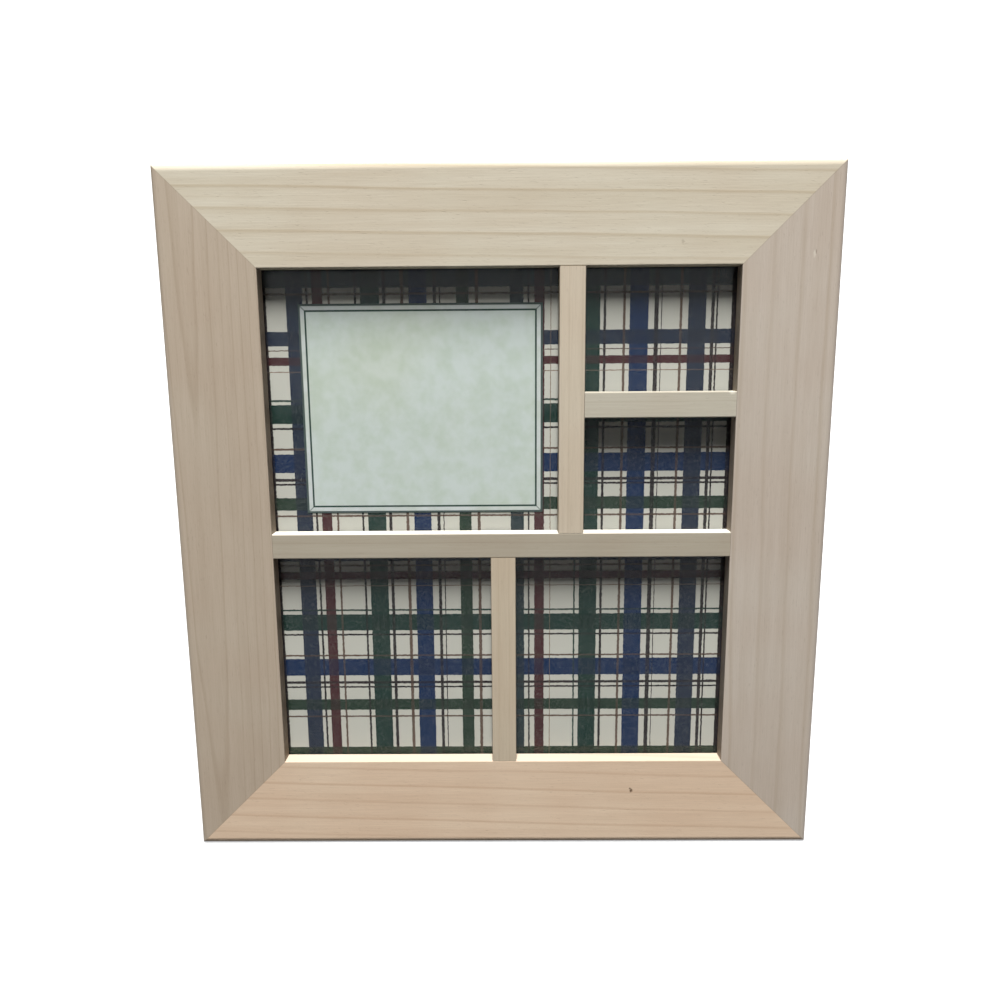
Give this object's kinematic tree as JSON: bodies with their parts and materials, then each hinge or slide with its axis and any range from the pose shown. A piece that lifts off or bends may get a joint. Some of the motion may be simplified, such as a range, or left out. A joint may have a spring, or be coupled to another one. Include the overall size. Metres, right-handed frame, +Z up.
{
  "type": "collage photo frame",
  "caption": "Flat wooden collage photo frame with mitred rails, a flush lattice of bars, glass, a plaid sheet, a bare card, a back held by turn buttons, and a sawtooth hanger.",
  "frame": {"origin": "the middle notch of the sawtooth hanger, halfway through its plate, where the frame hangs", "axes": "+Z up, +X to the right and -Y out of the picture, as the hung frame is looked at; +Y points to the wall"},
  "size_m": [0.2872, 0.022, 0.3067],
  "materials": {
    "rail_wood": "bare, sanded, straight grain",
    "bar_wood": "bare, sanded, straight grain",
    "glass": "clear, polished",
    "card": "matt, pale grey-green",
    "plaid_paper": "matt print, plaid",
    "cardboard": "brown, matt",
    "hardboard": "smooth brown hardboard",
    "button_steel": "bright zinc plate",
    "zinc": "zinc plate"
  },
  "bodies": {
    "frame": {"backing_board": "hardboard", "corner_v_nails": "zinc", "divider_lower": "bar_wood", "divider_main": "bar_wood", "divider_small": "bar_wood", "divider_upper": "bar_wood", "filler_board": "cardboard", "glass_pane": "glass", "hanger_nails": "zinc", "hanger_top": "zinc", "label_card": "card", "plaid_insert": "plaid_paper", "rail_bottom": "rail_wood", "rail_left": "rail_wood", "rail_right": "rail_wood", "rail_top": "rail_wood", "turn_button_screws": "zinc"},
    "turn_button_bottom_1": {"turn_button_bottom_1": "button_steel"},
    "turn_button_bottom_2": {"turn_button_bottom_2": "button_steel"},
    "turn_button_left_1": {"turn_button_left_1": "button_steel"},
    "turn_button_left_2": {"turn_button_left_2": "button_steel"},
    "turn_button_right_1": {"turn_button_right_1": "button_steel"},
    "turn_button_right_2": {"turn_button_right_2": "button_steel"},
    "turn_button_top_1": {"turn_button_top_1": "button_steel"},
    "turn_button_top_2": {"turn_button_top_2": "button_steel"}
  },
  "joints": [
    {"name": "turn_button_bottom_1_turn", "type": "hinge", "parent": "frame", "child": "turn_button_bottom_1", "pos_m": [0.06096, -0.00265, -0.25815], "axis": [0, 1, 0], "continuous": true},
    {"name": "turn_button_bottom_2_turn", "type": "hinge", "parent": "frame", "child": "turn_button_bottom_2", "pos_m": [-0.06096, -0.00265, -0.25815], "axis": [0, 1, 0], "continuous": true},
    {"name": "turn_button_left_1_turn", "type": "hinge", "parent": "frame", "child": "turn_button_left_1", "pos_m": [-0.1157, -0.00265, -0.19949], "axis": [0, 1, 0], "continuous": true},
    {"name": "turn_button_left_2_turn", "type": "hinge", "parent": "frame", "child": "turn_button_left_2", "pos_m": [-0.1157, -0.00265, -0.06581], "axis": [0, 1, 0], "continuous": true},
    {"name": "turn_button_right_1_turn", "type": "hinge", "parent": "frame", "child": "turn_button_right_1", "pos_m": [0.1157, -0.00265, -0.06581], "axis": [0, 1, 0], "continuous": true},
    {"name": "turn_button_right_2_turn", "type": "hinge", "parent": "frame", "child": "turn_button_right_2", "pos_m": [0.1157, -0.00265, -0.19949], "axis": [0, 1, 0], "continuous": true},
    {"name": "turn_button_top_1_turn", "type": "hinge", "parent": "frame", "child": "turn_button_top_1", "pos_m": [-0.06096, -0.00265, -0.00715], "axis": [0, 1, 0], "continuous": true},
    {"name": "turn_button_top_2_turn", "type": "hinge", "parent": "frame", "child": "turn_button_top_2", "pos_m": [0.06096, -0.00265, -0.00715], "axis": [0, 1, 0], "continuous": true}
  ]
}
